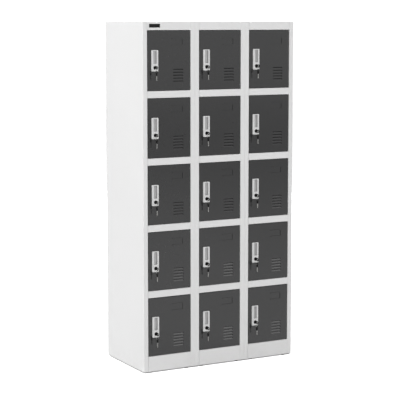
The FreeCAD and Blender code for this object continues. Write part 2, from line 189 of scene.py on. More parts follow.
def powder_skin() -> bpy.types.NodeTree:
    """Orange-peel surface of powder coat, with faint drifts in shade and gloss.

    Returns:
        Group that puts out a colour, a roughness and a height.
    """
    group = ShaderGroup("powder_skin",
                        {"Colour": ("color", (0.5, 0.5, 0.5)), "Roughness": ("float", 0.4),
                         "Shade Drift": ("float", 0.03), "Gloss Drift": ("float", 0.06),
                         "Peel Scale": ("float", 420.0)},
                        {"Colour": "color", "Roughness": "float", "Height": "float"})
    where = group.place()
    drift = group.noise(where, 3.0, 3.0)
    shade = group.math("ADD", group.math("MULTIPLY", group.math("SUBTRACT", drift, 0.5),
                                         group.given["Shade Drift"]), 1.0)
    colour = group.node("ShaderNodeVectorMath", {"operation": "SCALE"})
    connect(group.tree, colour.inputs[0], group.given["Colour"])
    connect(group.tree, colour.inputs["Scale"], shade)
    gloss = group.math("SUBTRACT", group.noise(where, 17.0, 4.0), 0.5)
    rough = group.math("ADD", group.given["Roughness"],
                       group.math("MULTIPLY", gloss, group.given["Gloss Drift"]))
    peel = group.noise(where, group.given["Peel Scale"], 1.5)
    speck = group.noise(where, 2600.0, 1.0)
    height = group.math("ADD", peel, group.math("MULTIPLY", speck, 0.35))
    return group.give(Colour=colour.outputs[0], Roughness=rough, Height=height)


def floor_scuff() -> bpy.types.NodeTree:
    """Dust and shoe scuffs that gather near the floor.

    Returns:
        Group that takes a colour and a roughness and puts both out, worn near Z = 0.
    """
    group = ShaderGroup("floor_scuff",
                        {"Colour": ("color", (0.5, 0.5, 0.5)), "Roughness": ("float", 0.4),
                         "Dust Colour": ("color", (0.4, 0.38, 0.35)), "Amount": ("float", 0.2),
                         "Reach": ("float", 0.16)},
                        {"Colour": "color", "Roughness": "float"})
    where = group.place()
    split = group.node("ShaderNodeSeparateXYZ", Vector=where)
    low = group.math("SUBTRACT", 1.0, group.math("DIVIDE", split.outputs[2], group.given["Reach"]))
    near_floor = group.math("MAXIMUM", low, 0.0)
    cloud = group.ramp(group.noise(where, 22.0, 5.0), 0.35, 0.75)
    streaks = group.ramp(group.noise(group.place((40.0, 40.0, 400.0)), 1.0, 2.0), 0.62, 0.72)
    mask = group.math("MULTIPLY", near_floor, group.math("MAXIMUM", cloud, streaks))
    share = group.math("MULTIPLY", mask, group.given["Amount"])
    colour = group.blend(share, group.given["Colour"], group.given["Dust Colour"])
    rough = group.math("ADD", group.given["Roughness"], group.math("MULTIPLY", share, 0.3))
    return group.give(Colour=colour, Roughness=rough)


def hand_marks() -> bpy.types.NodeTree:
    """Fine scratches and rubbed patches on what hands and keys touch.

    Returns:
        Group that takes a colour and a roughness and puts out both and a height.
    """
    group = ShaderGroup("hand_marks",
                        {"Colour": ("color", (0.5, 0.5, 0.5)), "Roughness": ("float", 0.4),
                         "Mark Colour": ("color", (0.8, 0.8, 0.8)), "Amount": ("float", 0.1),
                         "Grain Scale": ("float", 1500.0)},
                        {"Colour": "color", "Roughness": "float", "Height": "float"})
    rub = group.ramp(group.noise(group.place(), 60.0, 4.0), 0.45, 0.75)
    hair = group.ramp(group.noise(group.place((300.0, 300.0, 2600.0)), 1.0, 3.0), 0.66, 0.72)
    share = group.math("MULTIPLY", group.math("MAXIMUM", group.math("MULTIPLY", rub, 0.5), hair),
                       group.given["Amount"])
    colour = group.blend(share, group.given["Colour"], group.given["Mark Colour"])
    rough = group.math("SUBTRACT", group.given["Roughness"],
                       group.math("MULTIPLY", rub, group.given["Amount"]))
    grain = group.noise(group.place(), group.given["Grain Scale"], 2.0)
    return group.give(Colour=colour, Roughness=rough, Height=grain)


# ---------------------------------------------------------------- finishes


@dataclass(frozen=True)
class Finish:
    """A surface finish: plain values for the shader, and what its groups add."""

    name: str
    colour: Colour
    roughness: float
    metallic: float = 0.0
    specular: float = 0.5
    coat: float = 0.0
    bump: float = 0.1
    bump_depth: float = 0.0001
    chain: tuple[tuple[str, dict[str, object]], ...] = ()

    def build(self, groups: dict[str, bpy.types.NodeTree]) -> bpy.types.Material:
        """Make the material.

        Args:
            groups: shader groups by name.

        Returns:
            The material, with its groups in the order of the chain.
        """
        material = bpy.data.materials.new(self.name)
        material.use_nodes = True
        tree = material.node_tree
        shader = tree.nodes["Principled BSDF"]
        shader.inputs["Metallic"].default_value = self.metallic
        shader.inputs["Specular IOR Level"].default_value = self.specular
        shader.inputs["Coat Weight"].default_value = self.coat
        shader.inputs["Coat Roughness"].default_value = 0.12
        colour: object = self.colour
        rough: object = self.roughness
        height: object = None
        for name, values in self.chain:
            step = tree.nodes.new("ShaderNodeGroup")
            step.node_tree = groups[name]
            for label, value in values.items():
                connect(tree, step.inputs[label], value)
            connect(tree, step.inputs["Colour"], colour)
            connect(tree, step.inputs["Roughness"], rough)
            colour = step.outputs["Colour"]
            rough = step.outputs["Roughness"]
            height = step.outputs.get("Height") or height
        connect(tree, shader.inputs["Base Color"], colour)
        connect(tree, shader.inputs["Roughness"], rough)
        if isinstance(height, bpy.types.NodeSocket):
            bump = tree.nodes.new("ShaderNodeBump")
            bump.inputs["Strength"].default_value = self.bump
            bump.inputs["Distance"].default_value = self.bump_depth
            tree.links.new(height, bump.inputs["Height"])
            tree.links.new(bump.outputs["Normal"], shader.inputs["Normal"])
        return material


LIGHT_COAT = Finish("light_grey_powder_coat", (0.66, 0.66, 0.66), 0.45, bump=0.25, bump_depth=0.00004, chain=(
    ("powder_skin", {"Shade Drift": 0.03, "Gloss Drift": 0.10, "Peel Scale": 420.0}),
    ("floor_scuff", {"Amount": 0.10, "Reach": 0.12})))
DARK_COAT = Finish("dark_grey_powder_coat", (0.015, 0.015, 0.0155), 0.15, specular=0.55, bump=0.12,
                   bump_depth=0.00002, chain=(
    ("powder_skin", {"Shade Drift": 0.08, "Gloss Drift": 0.03, "Peel Scale": 520.0}),
    ("hand_marks", {"Mark Colour": (0.05, 0.05, 0.05), "Amount": 0.05, "Grain Scale": 900.0})))
MOULDED_GREY = Finish("moulded_grey_plastic", (0.60, 0.60, 0.60), 0.36, bump=0.15, chain=(
    ("hand_marks", {"Mark Colour": (0.45, 0.45, 0.44), "Amount": 0.14, "Grain Scale": 1800.0}),))
# Same moulded plastic as the plate, grained for grip; its darker grey and dark marks are painted shade in the deep
# finger recess and on its ribs.
GRIP_GREY_PAINTED_SHADE = Finish("grip_plastic_painted_shade", (0.46, 0.46, 0.46), 0.55, specular=0.3, bump=0.3, chain=(
    ("hand_marks", {"Mark Colour": (0.30, 0.30, 0.30), "Amount": 0.30, "Grain Scale": 2400.0}),))
BLACK_KEY = Finish("black_key_plastic", (0.004, 0.004, 0.004), 0.50, specular=0.10, bump=0.2, chain=(
    ("hand_marks", {"Mark Colour": (0.02, 0.02, 0.02), "Amount": 0.20, "Grain Scale": 2600.0}),))
BLACK_CASTING = Finish("black_lock_casting", (0.004, 0.004, 0.004), 0.42, specular=0.12, bump=0.15, chain=(
    ("hand_marks", {"Mark Colour": (0.03, 0.03, 0.03), "Amount": 0.25, "Grain Scale": 1400.0}),))
NICKEL = Finish("nickel_plated_steel", (0.40, 0.396, 0.385), 0.28, metallic=1.0, bump=0.2, chain=(
    ("hand_marks", {"Mark Colour": (0.24, 0.236, 0.23), "Amount": 0.35, "Grain Scale": 2200.0}),))
ZINC = Finish("zinc_plated_steel", (0.50, 0.50, 0.47), 0.42, metallic=1.0, bump=0.3, chain=(
    ("hand_marks", {"Mark Colour": (0.36, 0.37, 0.34), "Amount": 0.45, "Grain Scale": 700.0}),))
FOOT_PLASTIC = Finish("black_foot_plastic", (0.02, 0.02, 0.02), 0.6, bump=0.3, chain=(
    ("powder_skin", {"Shade Drift": 0.2, "Gloss Drift": 0.15, "Peel Scale": 1200.0}),
    ("floor_scuff", {"Amount": 0.5, "Reach": 0.008})))
PLATE_BLACK = Finish("black_enamel_plate", (0.005, 0.005, 0.005), 0.35, specular=0.15, bump=0.1, chain=(
    ("hand_marks", {"Mark Colour": (0.03, 0.03, 0.03), "Amount": 0.15, "Grain Scale": 1500.0}),))
FINISHES = (LIGHT_COAT, DARK_COAT, MOULDED_GREY, GRIP_GREY_PAINTED_SHADE, BLACK_KEY, BLACK_CASTING, NICKEL, ZINC, FOOT_PLASTIC,
            PLATE_BLACK)


class Paintshop:
    """Builds each finish once and hands out its material."""

    def __init__(self) -> None:
        """Build the shader groups and every material."""
        groups = {tree.name: tree for tree in (powder_skin(), floor_scuff(), hand_marks())}
        self.materials = {finish.name: finish.build(groups) for finish in FINISHES}

    def of(self, finish: Finish) -> bpy.types.Material:
        """The material of a finish."""
        return self.materials[finish.name]

    def coat_node(self, node: str, finish: Finish) -> None:
        """Give a node of the frame its finish.

        Args:
            node: name of the frame's node.
            finish: what it is coated with.
        """
        target = frame["nodes"][node]
        if not target.material_slots:
            target.data.materials.append(self.of(finish))
        for holder in target.material_slots:
            holder.material = self.of(finish)


# ---------------------------------------------------------------- mesh building


def rounded_outline(width: float, height: float, radius: float, steps: int = 6) -> list[tuple[float, float]]:
    """Points round a rectangle with round corners.

    Args:
        width: full width.
        height: full height.
        radius: corner radius.
        steps: segments in each corner.

    Returns:
        Points, anticlockwise, centred on zero.
    """
    points = []
    for quarter in range(4):
        sign_x = (1, -1, -1, 1)[quarter]
        sign_z = (1, 1, -1, -1)[quarter]
        for step in range(steps + 1):
            angle = math.pi / 2 * (quarter + step / steps)
            points.append((sign_x * (width / 2 - radius) + radius * math.cos(angle),
                           sign_z * (height / 2 - radius) + radius * math.sin(angle)))
    return points


def circle_outline(radius: float, count: int = 40) -> list[tuple[float, float]]:
    """Points round a circle."""
    return [(radius * math.cos(2 * math.pi * k / count), radius * math.sin(2 * math.pi * k / count))
            for k in range(count)]


def at_depth(outline: Iterable[tuple[float, float]], depth: float,
             centre: tuple[float, float] = (0.0, 0.0)) -> Loop:
    """An outline in X and Z set at a depth along Y."""
    return [(x + centre[0], depth, z + centre[1]) for x, z in outline]


class Shell:
    """Collects closed surfaces, each with its material, and turns them into one mesh."""

    def __init__(self, materials: Sequence[bpy.types.Material]) -> None:
        """Start an empty shell with the materials that its faces may use."""
        self.materials = list(materials)
        self.mesh = bmesh.new()

    def loft(self, loops: Sequence[Loop], slot: int = 0, ring: bool = False, inner: int = 0,
             inner_slot: int = 0) -> None:
        """Skin a row of loops of equal length.

        Args:
            loops: the loops, in order.
            slot: index of the faces' material.
            ring: join the last loop to the first, in place of capping both ends.
            inner: how many of the last bands, with the last cap, have a material of their own.
            inner_slot: index of that material.
        """
        rows = [[self.mesh.verts.new(point) for point in loop] for loop in loops]
        pairs = list(zip(rows, rows[1:])) + ([(rows[-1], rows[0])] if ring else [])
        for index, (near, far) in enumerate(pairs):
            band = inner_slot if index >= len(pairs) - inner else slot
            for k in range(len(near)):
                turn = (k + 1) % len(near)
                self.face((near[k], near[turn], far[turn], far[k]), band)
        if not ring:
            self.face(rows[0], slot)
            self.face(rows[-1], inner_slot if inner else slot)

    def face(self, corners: Sequence[bmesh.types.BMVert], slot: int) -> None:
        """Add a face with a material."""
        made = self.mesh.faces.new(corners)
        made.material_index = slot

    def absorb(self, other: bpy.types.Mesh, slot: int) -> None:
        """Take in another mesh, all of it in one material, and delete the other."""
        before = len(self.mesh.faces)
        self.mesh.from_mesh(other)
        self.mesh.faces.ensure_lookup_table()
        for made in self.mesh.faces[before:]:
            made.material_index = slot
        bpy.data.meshes.remove(other)

    def finish(self, name: str, sharp_degrees: float = 32.0) -> bpy.types.Mesh:
        """Turn the shell into a mesh with outward faces and smooth shading between sharp edges.

        Args:
            name: the mesh's name.
            sharp_degrees: edges that turn more than this stay sharp.

        Returns:
            The mesh, in the same coordinates as the loops.
        """
        bmesh.ops.remove_doubles(self.mesh, verts=self.mesh.verts, dist=1e-6)
        bmesh.ops.recalc_face_normals(self.mesh, faces=self.mesh.faces)
        mesh = bpy.data.meshes.new(name)
        self.mesh.to_mesh(mesh)
        self.mesh.free()
        for material in self.materials:
            mesh.materials.append(material)
        mesh.shade_smooth()
        mesh.set_sharp_from_angle(angle=math.radians(sharp_degrees))
        return mesh


def place_piece(mesh: bpy.types.Mesh, name: str, at: Vector, body: str) -> bpy.types.Object:
    """Put a copy of a mesh at a place, as an object of its own that rides on a body.

    Args:
        mesh: the mesh, in its own frame.
        name: the object's name.
        at: where the mesh's origin goes.
        body: the body that carries it.

    Returns:
        The object, with its place in its mesh.
    """
    copy = mesh.copy()
    copy.name = name
    copy.transform(Matrix.Translation(at))
    piece = bpy.data.objects.new(name, copy)
    bpy.context.scene.collection.objects.link(piece)
    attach(piece, body)
    return piece


# ---------------------------------------------------------------- Geometry Nodes


class NodeRecipe:
    """A Geometry Nodes tree with named inputs, baked to plain meshes."""

    def __init__(self, name: str, inputs: dict[str, tuple[str, object]]) -> None:
        """Make the tree and its sockets.

        Args:
            name: the tree's name.
            inputs: socket name to its type, "float", "int" or "material", and its default.
        """
        kinds = {"float": "NodeSocketFloat", "int": "NodeSocketInt", "material": "NodeSocketMaterial"}
        self.tree = bpy.data.node_groups.new(name, "GeometryNodeTree")
        self.keys = {}
        for label, (kind, default) in inputs.items():
            socket = self.tree.interface.new_socket(label, in_out="INPUT", socket_type=kinds[kind])
            if default is not None:
                socket.default_value = default
            self.keys[label] = socket.identifier
        self.tree.interface.new_socket("Geometry", in_out="OUTPUT", socket_type="NodeSocketGeometry")
        self.given = self.tree.nodes.new("NodeGroupInput").outputs

    def node(self, kind: str, settings: dict[str, object] | None = None,
             inputs: dict[str | int, object] | None = None) -> bpy.types.NodeOutputs:
        """Add a node.

        Args:
            kind: Blender's node type.
            settings: attributes of the node to set.
            inputs: input socket, by name or index, to an output socket or a plain value.

        Returns:
            The node's outputs.
        """
        made = self.tree.nodes.new(kind)
        for name, value in (settings or {}).items():
            setattr(made, name, value)
        for key, value in (inputs or {}).items():
            connect(self.tree, made.inputs[key], value)
        return made.outputs

    def times(self, first: object, second: object, operation: str = "MULTIPLY") -> bpy.types.NodeSocket:
        """Output of a Math node on two sockets or numbers."""
        return math_output(self.tree, first, second, operation)

    def vector(self, x: object = 0.0, y: object = 0.0, z: object = 0.0) -> bpy.types.NodeSocket:
        """A vector from three sockets or numbers."""
        return self.node("ShaderNodeCombineXYZ", None, {0: x, 1: y, 2: z})[0]

    def close(self, geometry: bpy.types.NodeSocket) -> None:
        """End the tree with real geometry in the given material."""
        real = self.node("GeometryNodeRealizeInstances", None, {0: geometry})[0]
        dressed = self.node("GeometryNodeSetMaterial", None,
                            {"Geometry": real, "Material": self.given["Material"]})[0]
        self.tree.links.new(dressed, self.tree.nodes.new("NodeGroupOutput").inputs[0])

    def bake(self, name: str, **values: object) -> bpy.types.Mesh:
        """Evaluate the tree once with the given inputs.

        Args:
            name: the mesh's name.
            values: input name, with underscores for spaces, to its value.

        Returns:
            A plain mesh.
        """
        holder = bpy.data.objects.new(name, bpy.data.meshes.new(name))
        bpy.context.scene.collection.objects.link(holder)
        modifier = holder.modifiers.new("recipe", "NODES")
        modifier.node_group = self.tree
        for label, value in values.items():
            modifier[self.keys[label.replace("_", " ")]] = value
        graph = bpy.context.evaluated_depsgraph_get()
        mesh = bpy.data.meshes.new_from_object(holder.evaluated_get(graph))
        holder.modifiers.remove(modifier)
        bpy.data.objects.remove(holder)
        return mesh


def row_recipe() -> NodeRecipe:
    """Round bars in a row, such as the ribs of a grip: each lies along X, and the row runs down Z."""
    recipe = NodeRecipe("grip_ribs", {"Count": ("int", 8), "Pitch": ("float", 0.005), "Length": ("float", 0.01),
                                      "Radius": ("float", 0.0005), "Material": ("material", None)})
    step = recipe.vector(z=recipe.times(recipe.given["Pitch"], -1.0))
    line = recipe.node("GeometryNodeMeshLine", {"mode": "OFFSET"},
                       {"Count": recipe.given["Count"], "Offset": step})[0]
    bar = recipe.node("GeometryNodeMeshCylinder", {"fill_type": "NGON"},
                      {"Vertices": 12, "Radius": recipe.given["Radius"], "Depth": recipe.given["Length"]})[0]
    row = recipe.node("GeometryNodeInstanceOnPoints", None,
                      {"Points": line, "Instance": bar, "Rotation": (0.0, math.pi / 2, 0.0)})[0]
    recipe.close(row)
    return recipe


def ring_recipe() -> NodeRecipe:
    """Split ring: a flat coil of wire about Z."""
    recipe = NodeRecipe("split_ring", {"Ring Radius": ("float", 0.012), "Wire Radius": ("float", 0.0004),
                                       "Turns": ("float", 2.0), "Material": ("material", None)})
    rise = recipe.times(recipe.times(recipe.given["Wire Radius"], 2.0), recipe.given["Turns"])
    coil = recipe.node("GeometryNodeCurveSpiral", None,
                       {"Resolution": 56, "Rotations": recipe.given["Turns"],
                        "Start Radius": recipe.given["Ring Radius"], "End Radius": recipe.given["Ring Radius"],
                        "Height": rise})[0]
    wire = recipe.node("GeometryNodeCurvePrimitiveCircle", None,
                       {"Resolution": 10, "Radius": recipe.given["Wire Radius"]})[0]
    tube = recipe.node("GeometryNodeCurveToMesh", None,
                       {"Curve": coil, "Profile Curve": wire, "Fill Caps": True})[0]
    half = recipe.vector(z=recipe.times(rise, -0.5))
    recipe.close(recipe.node("GeometryNodeTransform", None, {"Geometry": tube, "Translation": half})[0])
    return recipe


def dimple_recipe() -> NodeRecipe:
    """Low round marks in a row down Z, each facing +Y, as spot welds leave on a sheet."""
    recipe = NodeRecipe("weld_marks", {"Count": ("int", 10), "Pitch": ("float", 0.1), "Radius": ("float", 0.003),
                                       "Rise": ("float", 0.0002), "Material": ("material", None)})
    step = recipe.vector(z=recipe.times(recipe.given["Pitch"], -1.0))
    line = recipe.node("GeometryNodeMeshLine", {"mode": "OFFSET"},
                       {"Count": recipe.given["Count"], "Offset": step})[0]
    mark = recipe.node("GeometryNodeMeshCone", {"fill_type": "NGON"},
                       {"Vertices": 16, "Radius Top": recipe.times(recipe.given["Radius"], 0.6),
                        "Radius Bottom": recipe.given["Radius"], "Depth": recipe.given["Rise"]})[0]
    row = recipe.node("GeometryNodeInstanceOnPoints", None,
                      {"Points": line, "Instance": mark, "Rotation": (-math.pi / 2, 0.0, 0.0)})[0]
    recipe.close(row)
    return recipe


# ---------------------------------------------------------------- sub-assemblies


@dataclass
class LockSite:
    """Where one door's lock is, and the bodies there."""

    tag: str
    axis: Vector

    @property
    def door_body(self) -> str:
        """Body of the door."""
        return f"door_{self.tag}"

    @property
    def lock_body(self) -> str:
        """Body of the lock's turning parts."""
        return f"lock_{self.tag}"


def lock_sites() -> list[LockSite]:
    """Every lock of the frame, from its joint."""
    prefix = "lock_turn_"
    return [LockSite(joint["name"][len(prefix):], Vector(joint["pos_m"]))
            for joint in frame["joints"] if joint["name"].startswith(prefix)]


@dataclass
class Handle:
    """Moulded handle plate with a ribbed finger recess, and the nut behind the door."""

    width: float = 0.0375
    height: float = 0.1086
    above_axis: float = 0.0897
    proud: float = 0.008
    corner: float = 0.004
    edge_round: float = 0.002
    grip_width: float = 0.019
    grip_height: float = 0.066
    grip_below_top: float = 0.0042
    grip_depth: float = 0.016
    grip_corner: float = 0.003
    grip_lip: float = 0.0009
    grip_wall: float = 0.0017
    rib_count: int = 9
    rib_pitch: float = 0.006
    rib_radius: float = 0.0006
    collar_radius: float = 0.0105
    collar_back: float = 0.0134
    nut_across: float = 0.027
    nut_front: float = 0.0008
    nut_thickness: float = 0.004
    boss_radius: float = 0.0112
    boss_rise: float = 0.0005

    def plate_loops(self) -> list[Loop]:
        """Loops of the plate, from the back of its cup, round the outside and into the recess."""
        middle = (0.0, self.above_axis - self.height / 2)
        cup = (0.0, self.above_axis - self.grip_below_top - self.grip_height / 2)
        cup_back = self.grip_depth - self.proud
        wall = self.grip_wall
        loops = []

        def grip(grow: float, depth: float) -> None:
            """Add a loop of the recess, grown all round."""
            radius = max(self.grip_corner + grow, 0.0006)
            outline = rounded_outline(self.grip_width + 2 * grow, self.grip_height + 2 * grow, radius)
            loops.append(at_depth(outline, depth, cup))

        def body(inset: float, depth: float) -> None:
            """Add a loop of the plate's outside, shrunk all round."""
            outline = rounded_outline(self.width - 2 * inset, self.height - 2 * inset,
                                      self.corner - inset * 0.6)
            loops.append(at_depth(outline, depth, middle))

        grip(wall - 0.001, cup_back + wall)
        grip(wall, cup_back + wall - 0.001)
        grip(wall, 0.0)
        body(0.0003, 0.0)
        body(0.0, -0.0004)
        steps = 5
        for step in range(steps + 1):
            angle = math.pi / 2 * step / steps
            body(self.edge_round * (1 - math.cos(angle)),
                 -self.proud + self.edge_round * (1 - math.sin(angle)))
        for step in range(4):
            angle = math.pi / 2 * step / 3
            grip(self.grip_lip * (1 - math.sin(angle)), -self.proud + self.grip_lip * (1 - math.cos(angle)))
        grip(0.0, cup_back - 0.004)
        for step in range(1, 4):
            angle = math.pi / 2 * step / 3
            grip(-0.0025 * (1 - math.cos(angle)), cup_back - 0.004 + 0.004 * math.sin(angle))
        return loops

    def build(self, shop: Paintshop, ribs: NodeRecipe) -> bpy.types.Mesh:
        """Make the handle in its lock's frame.

        Args:
            shop: where the finishes come from.
            ribs: recipe for the ribs of the recess.

        Returns:
            The mesh, with its ribs, collar and nut.
        """
        shell = Shell((shop.of(MOULDED_GREY), shop.of(ZINC), shop.of(GRIP_GREY_PAINTED_SHADE)))
        # The recess's inner bands, its floor and the ribs take the darker grip finish: painted shade in the finger
        # recess.
        shell.loft(self.plate_loops(), inner=4, inner_slot=2)
        bezel = [(self.boss_radius, -self.proud + 0.0002), (self.boss_radius, -self.proud - self.boss_rise * 0.6),
                 (self.boss_radius - 0.0004, -self.proud - self.boss_rise), (0.0098, -self.proud - self.boss_rise),
                 (0.0098, -self.proud + 0.0002)]
        shell.loft([at_depth(circle_outline(radius), depth) for radius, depth in bezel], ring=True)
        collar = [(self.collar_radius, -0.001), (self.collar_radius, self.collar_back - 0.0006),
                  (self.collar_radius - 0.0006, self.collar_back), (0.0087, self.collar_back), (0.0087, -0.001)]
        shell.loft([at_depth(circle_outline(radius), depth) for radius, depth in collar], ring=True)
        shell.loft(self.nut_loops(), slot=1, ring=True)
        top = self.above_axis - self.grip_below_top
        row = (self.rib_count - 1) * self.rib_pitch
        bars = ribs.bake("ribs", Count=self.rib_count, Pitch=self.rib_pitch, Length=self.grip_width - 0.006,
                         Radius=self.rib_radius, Material=shop.of(GRIP_GREY_PAINTED_SHADE))
        bars.transform(Matrix.Translation((0.0, self.grip_depth - self.proud - self.rib_radius * 0.4,
                                           top - (self.grip_height - row) / 2)))
        shell.absorb(bars, 2)
        return shell.finish("handle")

    def nut_loops(self) -> list[Loop]:
        """Loops of the hexagonal nut with its corners turned off, as a ring round its bore."""
        count = 48
        loops = []
        for corner_share, depth in ((0.96, 0.0), (1.0, 0.0004), (1.0, self.nut_thickness - 0.0004),
                                    (0.96, self.nut_thickness)):
            outline = []
            for k in range(count):
                angle = 2 * math.pi * k / count
                side = (angle + math.pi / 6) % (math.pi / 3) - math.pi / 6
                radius = min(self.nut_across / 2 / math.cos(side),
                             self.nut_across / math.sqrt(3) * corner_share)
                outline.append((radius * math.cos(angle), radius * math.sin(angle)))
            loops.append(at_depth(outline, self.nut_front + depth))
        for depth in (self.nut_thickness, 0.0):
            loops.append(at_depth(circle_outline(self.collar_radius, count), self.nut_front + depth))
        return loops


@dataclass
class Key:
    """Flat key with a round bow, in the YZ plane, its hole at the origin and its blade along +Y."""

    bow_radius: float = 0.0087
    hole_radius: float = 0.0046
    shoulder_at: float = 0.017
    shoulder_half: float = 0.005
    thickness: float = 0.0024
    edge: float = 0.0005
    blade_half: float = 0.0036
    blade_thickness: float = 0.002
    cuts: tuple[float, ...] = (0.2, 0.7, 0.4, 0.9, 0.5)
    cut_depth: float = 0.0018

    def bow_outline(self, inset: float, count: int = 56) -> list[tuple[float, float]]:
        """Outline of the bow round its hole, shrunk by an inset.

        Args:
            inset: distance to shrink by.
            count: number of points.

        Returns:
            Points in Y and Z.
        """
        reach = math.hypot(self.shoulder_at, self.shoulder_half)
        shoulder = math.atan2(self.shoulder_half, self.shoulder_at)
        tangent = shoulder + math.acos(self.bow_radius / reach)
        points = []
        for k in range(count):
            angle = 2 * math.pi * k / count
            side = abs(math.remainder(angle, 2 * math.pi))
            if side < shoulder:
                radius = (self.shoulder_at - inset) / math.cos(side)
            elif side < tangent:
                radius = (self.bow_radius - inset) / math.cos(tangent - side)
            else:
                radius = self.bow_radius - inset
            points.append((radius * math.cos(angle), radius * math.sin(angle)))
        return points

    def bow_loops(self) -> list[Loop]:
        """Loops of the bow as a ring round its hole: out along one face, over the edge, back along the other."""
        half = self.thickness / 2
        pad = self.hole_radius + 0.0014
        rows: list[tuple[list[tuple[float, float]], float]] = []
        count = 56
        for side in (1, -1):
            face = [(circle_outline(self.hole_radius, count), side * (half - 0.0004)),
                    (circle_outline(self.hole_radius + 0.0004, count), side * half),
                    (circle_outline(pad, count), side * half),
                    (self.bow_outline(self.edge + 0.0009), side * (half - 0.00015)),
                    (self.bow_outline(self.edge), side * half),
                    (self.bow_outline(self.edge * 0.3), side * (half - self.edge * 0.4)),
                    (self.bow_outline(0.0), side * (half - self.edge))]
            rows += face if side > 0 else face[::-1]
        return [[(x, y, z) for y, z in outline] for outline, x in rows]

    def blade_loops(self, length: float) -> list[Loop]:
        """Loops of the blade, from the shoulder to the tip, with its cuts along the lower edge.

        Args:
            length: from the shoulder to the tip.

        Returns:
            Loops across the blade.
        """
        half = self.blade_thickness / 2
        start = self.shoulder_at - 0.0008
        stations = [(start, 0.0)]
        pitch = (length - 0.006) / len(self.cuts)
        for index, cut in enumerate(self.cuts):
            at = self.shoulder_at + 0.003 + pitch * index
            stations += [(at, 0.0), (at + pitch * 0.4, cut * self.cut_depth),
                         (at + pitch * 0.6, cut * self.cut_depth)]
        stations += [(self.shoulder_at + length - 0.0022, 0.0)]
        loops = [self.blade_section(y, self.blade_half, -self.blade_half + cut, half) for y, cut in stations]
        loops.append(self.blade_section(self.shoulder_at + length, self.blade_half - 0.002,
                                        -self.blade_half + 0.0024, half * 0.9))
        return loops

    def blade_section(self, y: float, top: float, bottom: float, half: float) -> Loop:
        """Section of the blade at a station, with a groove along each face."""
        groove = half * 0.55
        middle = top - self.blade_half * 0.8
        return [(half, y, bottom), (half, y, middle - 0.0008), (groove, y, middle - 0.0004),
                (groove, y, middle + 0.0004), (half, y, middle + 0.0008), (half, y, top),
                (-half, y, top), (-half, y, middle + 0.0008), (-groove, y, middle + 0.0004),
                (-groove, y, middle - 0.0004), (-half, y, middle - 0.0008), (-half, y, bottom)]

    def add_to(self, shell: Shell, where: Matrix, length: float, bow_slot: int, blade_slot: int) -> None:
        """Build the key into a shell.

        Args:
            shell: the shell to add to.
            where: the key's frame in the shell's frame.
            length: of the blade.
            bow_slot: material of the bow.
            blade_slot: material of the blade.
        """
        for loops, slot, ring in ((self.bow_loops(), bow_slot, True),
                                  (self.blade_loops(length), blade_slot, False)):
            shell.loft([[tuple(where @ Vector(point)) for point in loop] for loop in loops], slot, ring)


@dataclass
class KeyRing:
    """Split ring through the eye of the key in the lock, and the spare key that hangs from it."""

    key: Key = field(default_factory=Key)
    eye: float = 0.029
    radius: float = 0.0125
    lean: float = 0.58
    wire: float = 0.00034
    sag: float = 0.001
    blade_length: float = 0.025

    def centre(self) -> Vector:
        """Centre of the ring, whose wire leans down and forward through the eye."""
        rise = math.sqrt(1 - self.lean ** 2)
        side = math.sqrt(1 - 2 * self.lean ** 2)
        drift = Vector((-self.lean ** 2 / rise, -self.lean * side / rise, -rise))
        return Vector((0.0, -self.eye, 0.0)) + drift * self.radius

    def build(self, shop: Paintshop, coil: NodeRecipe) -> bpy.types.Mesh:
        """Make the ring and the spare key in their lock's frame.

        Args:
            shop: where the finishes come from.
            coil: recipe for the ring.

        Returns:
            The mesh.
        """
        shell = Shell((shop.of(NICKEL), shop.of(BLACK_KEY)))
        side = math.sqrt(1 - 2 * self.lean ** 2)
        normal = Vector((side, -self.lean, 0.0)).normalized()
        ring = coil.bake("ring", Ring_Radius=self.radius, Wire_Radius=self.wire, Turns=2.0,
                         Material=shop.of(NICKEL))
        turn = Vector((0.0, 0.0, 1.0)).rotation_difference(normal).to_matrix().to_4x4()
        ring.transform(Matrix.Translation(self.centre()) @ turn)
        shell.absorb(ring, 0)
        hang = self.centre() - Vector((0.0, 0.0, self.radius + self.sag))
        where = Matrix.Translation(hang) @ Matrix.Rotation(-math.pi / 2, 4, "X")
        self.key.add_to(shell, where, self.blade_length, 1, 0)
        return shell.finish("spare_key")


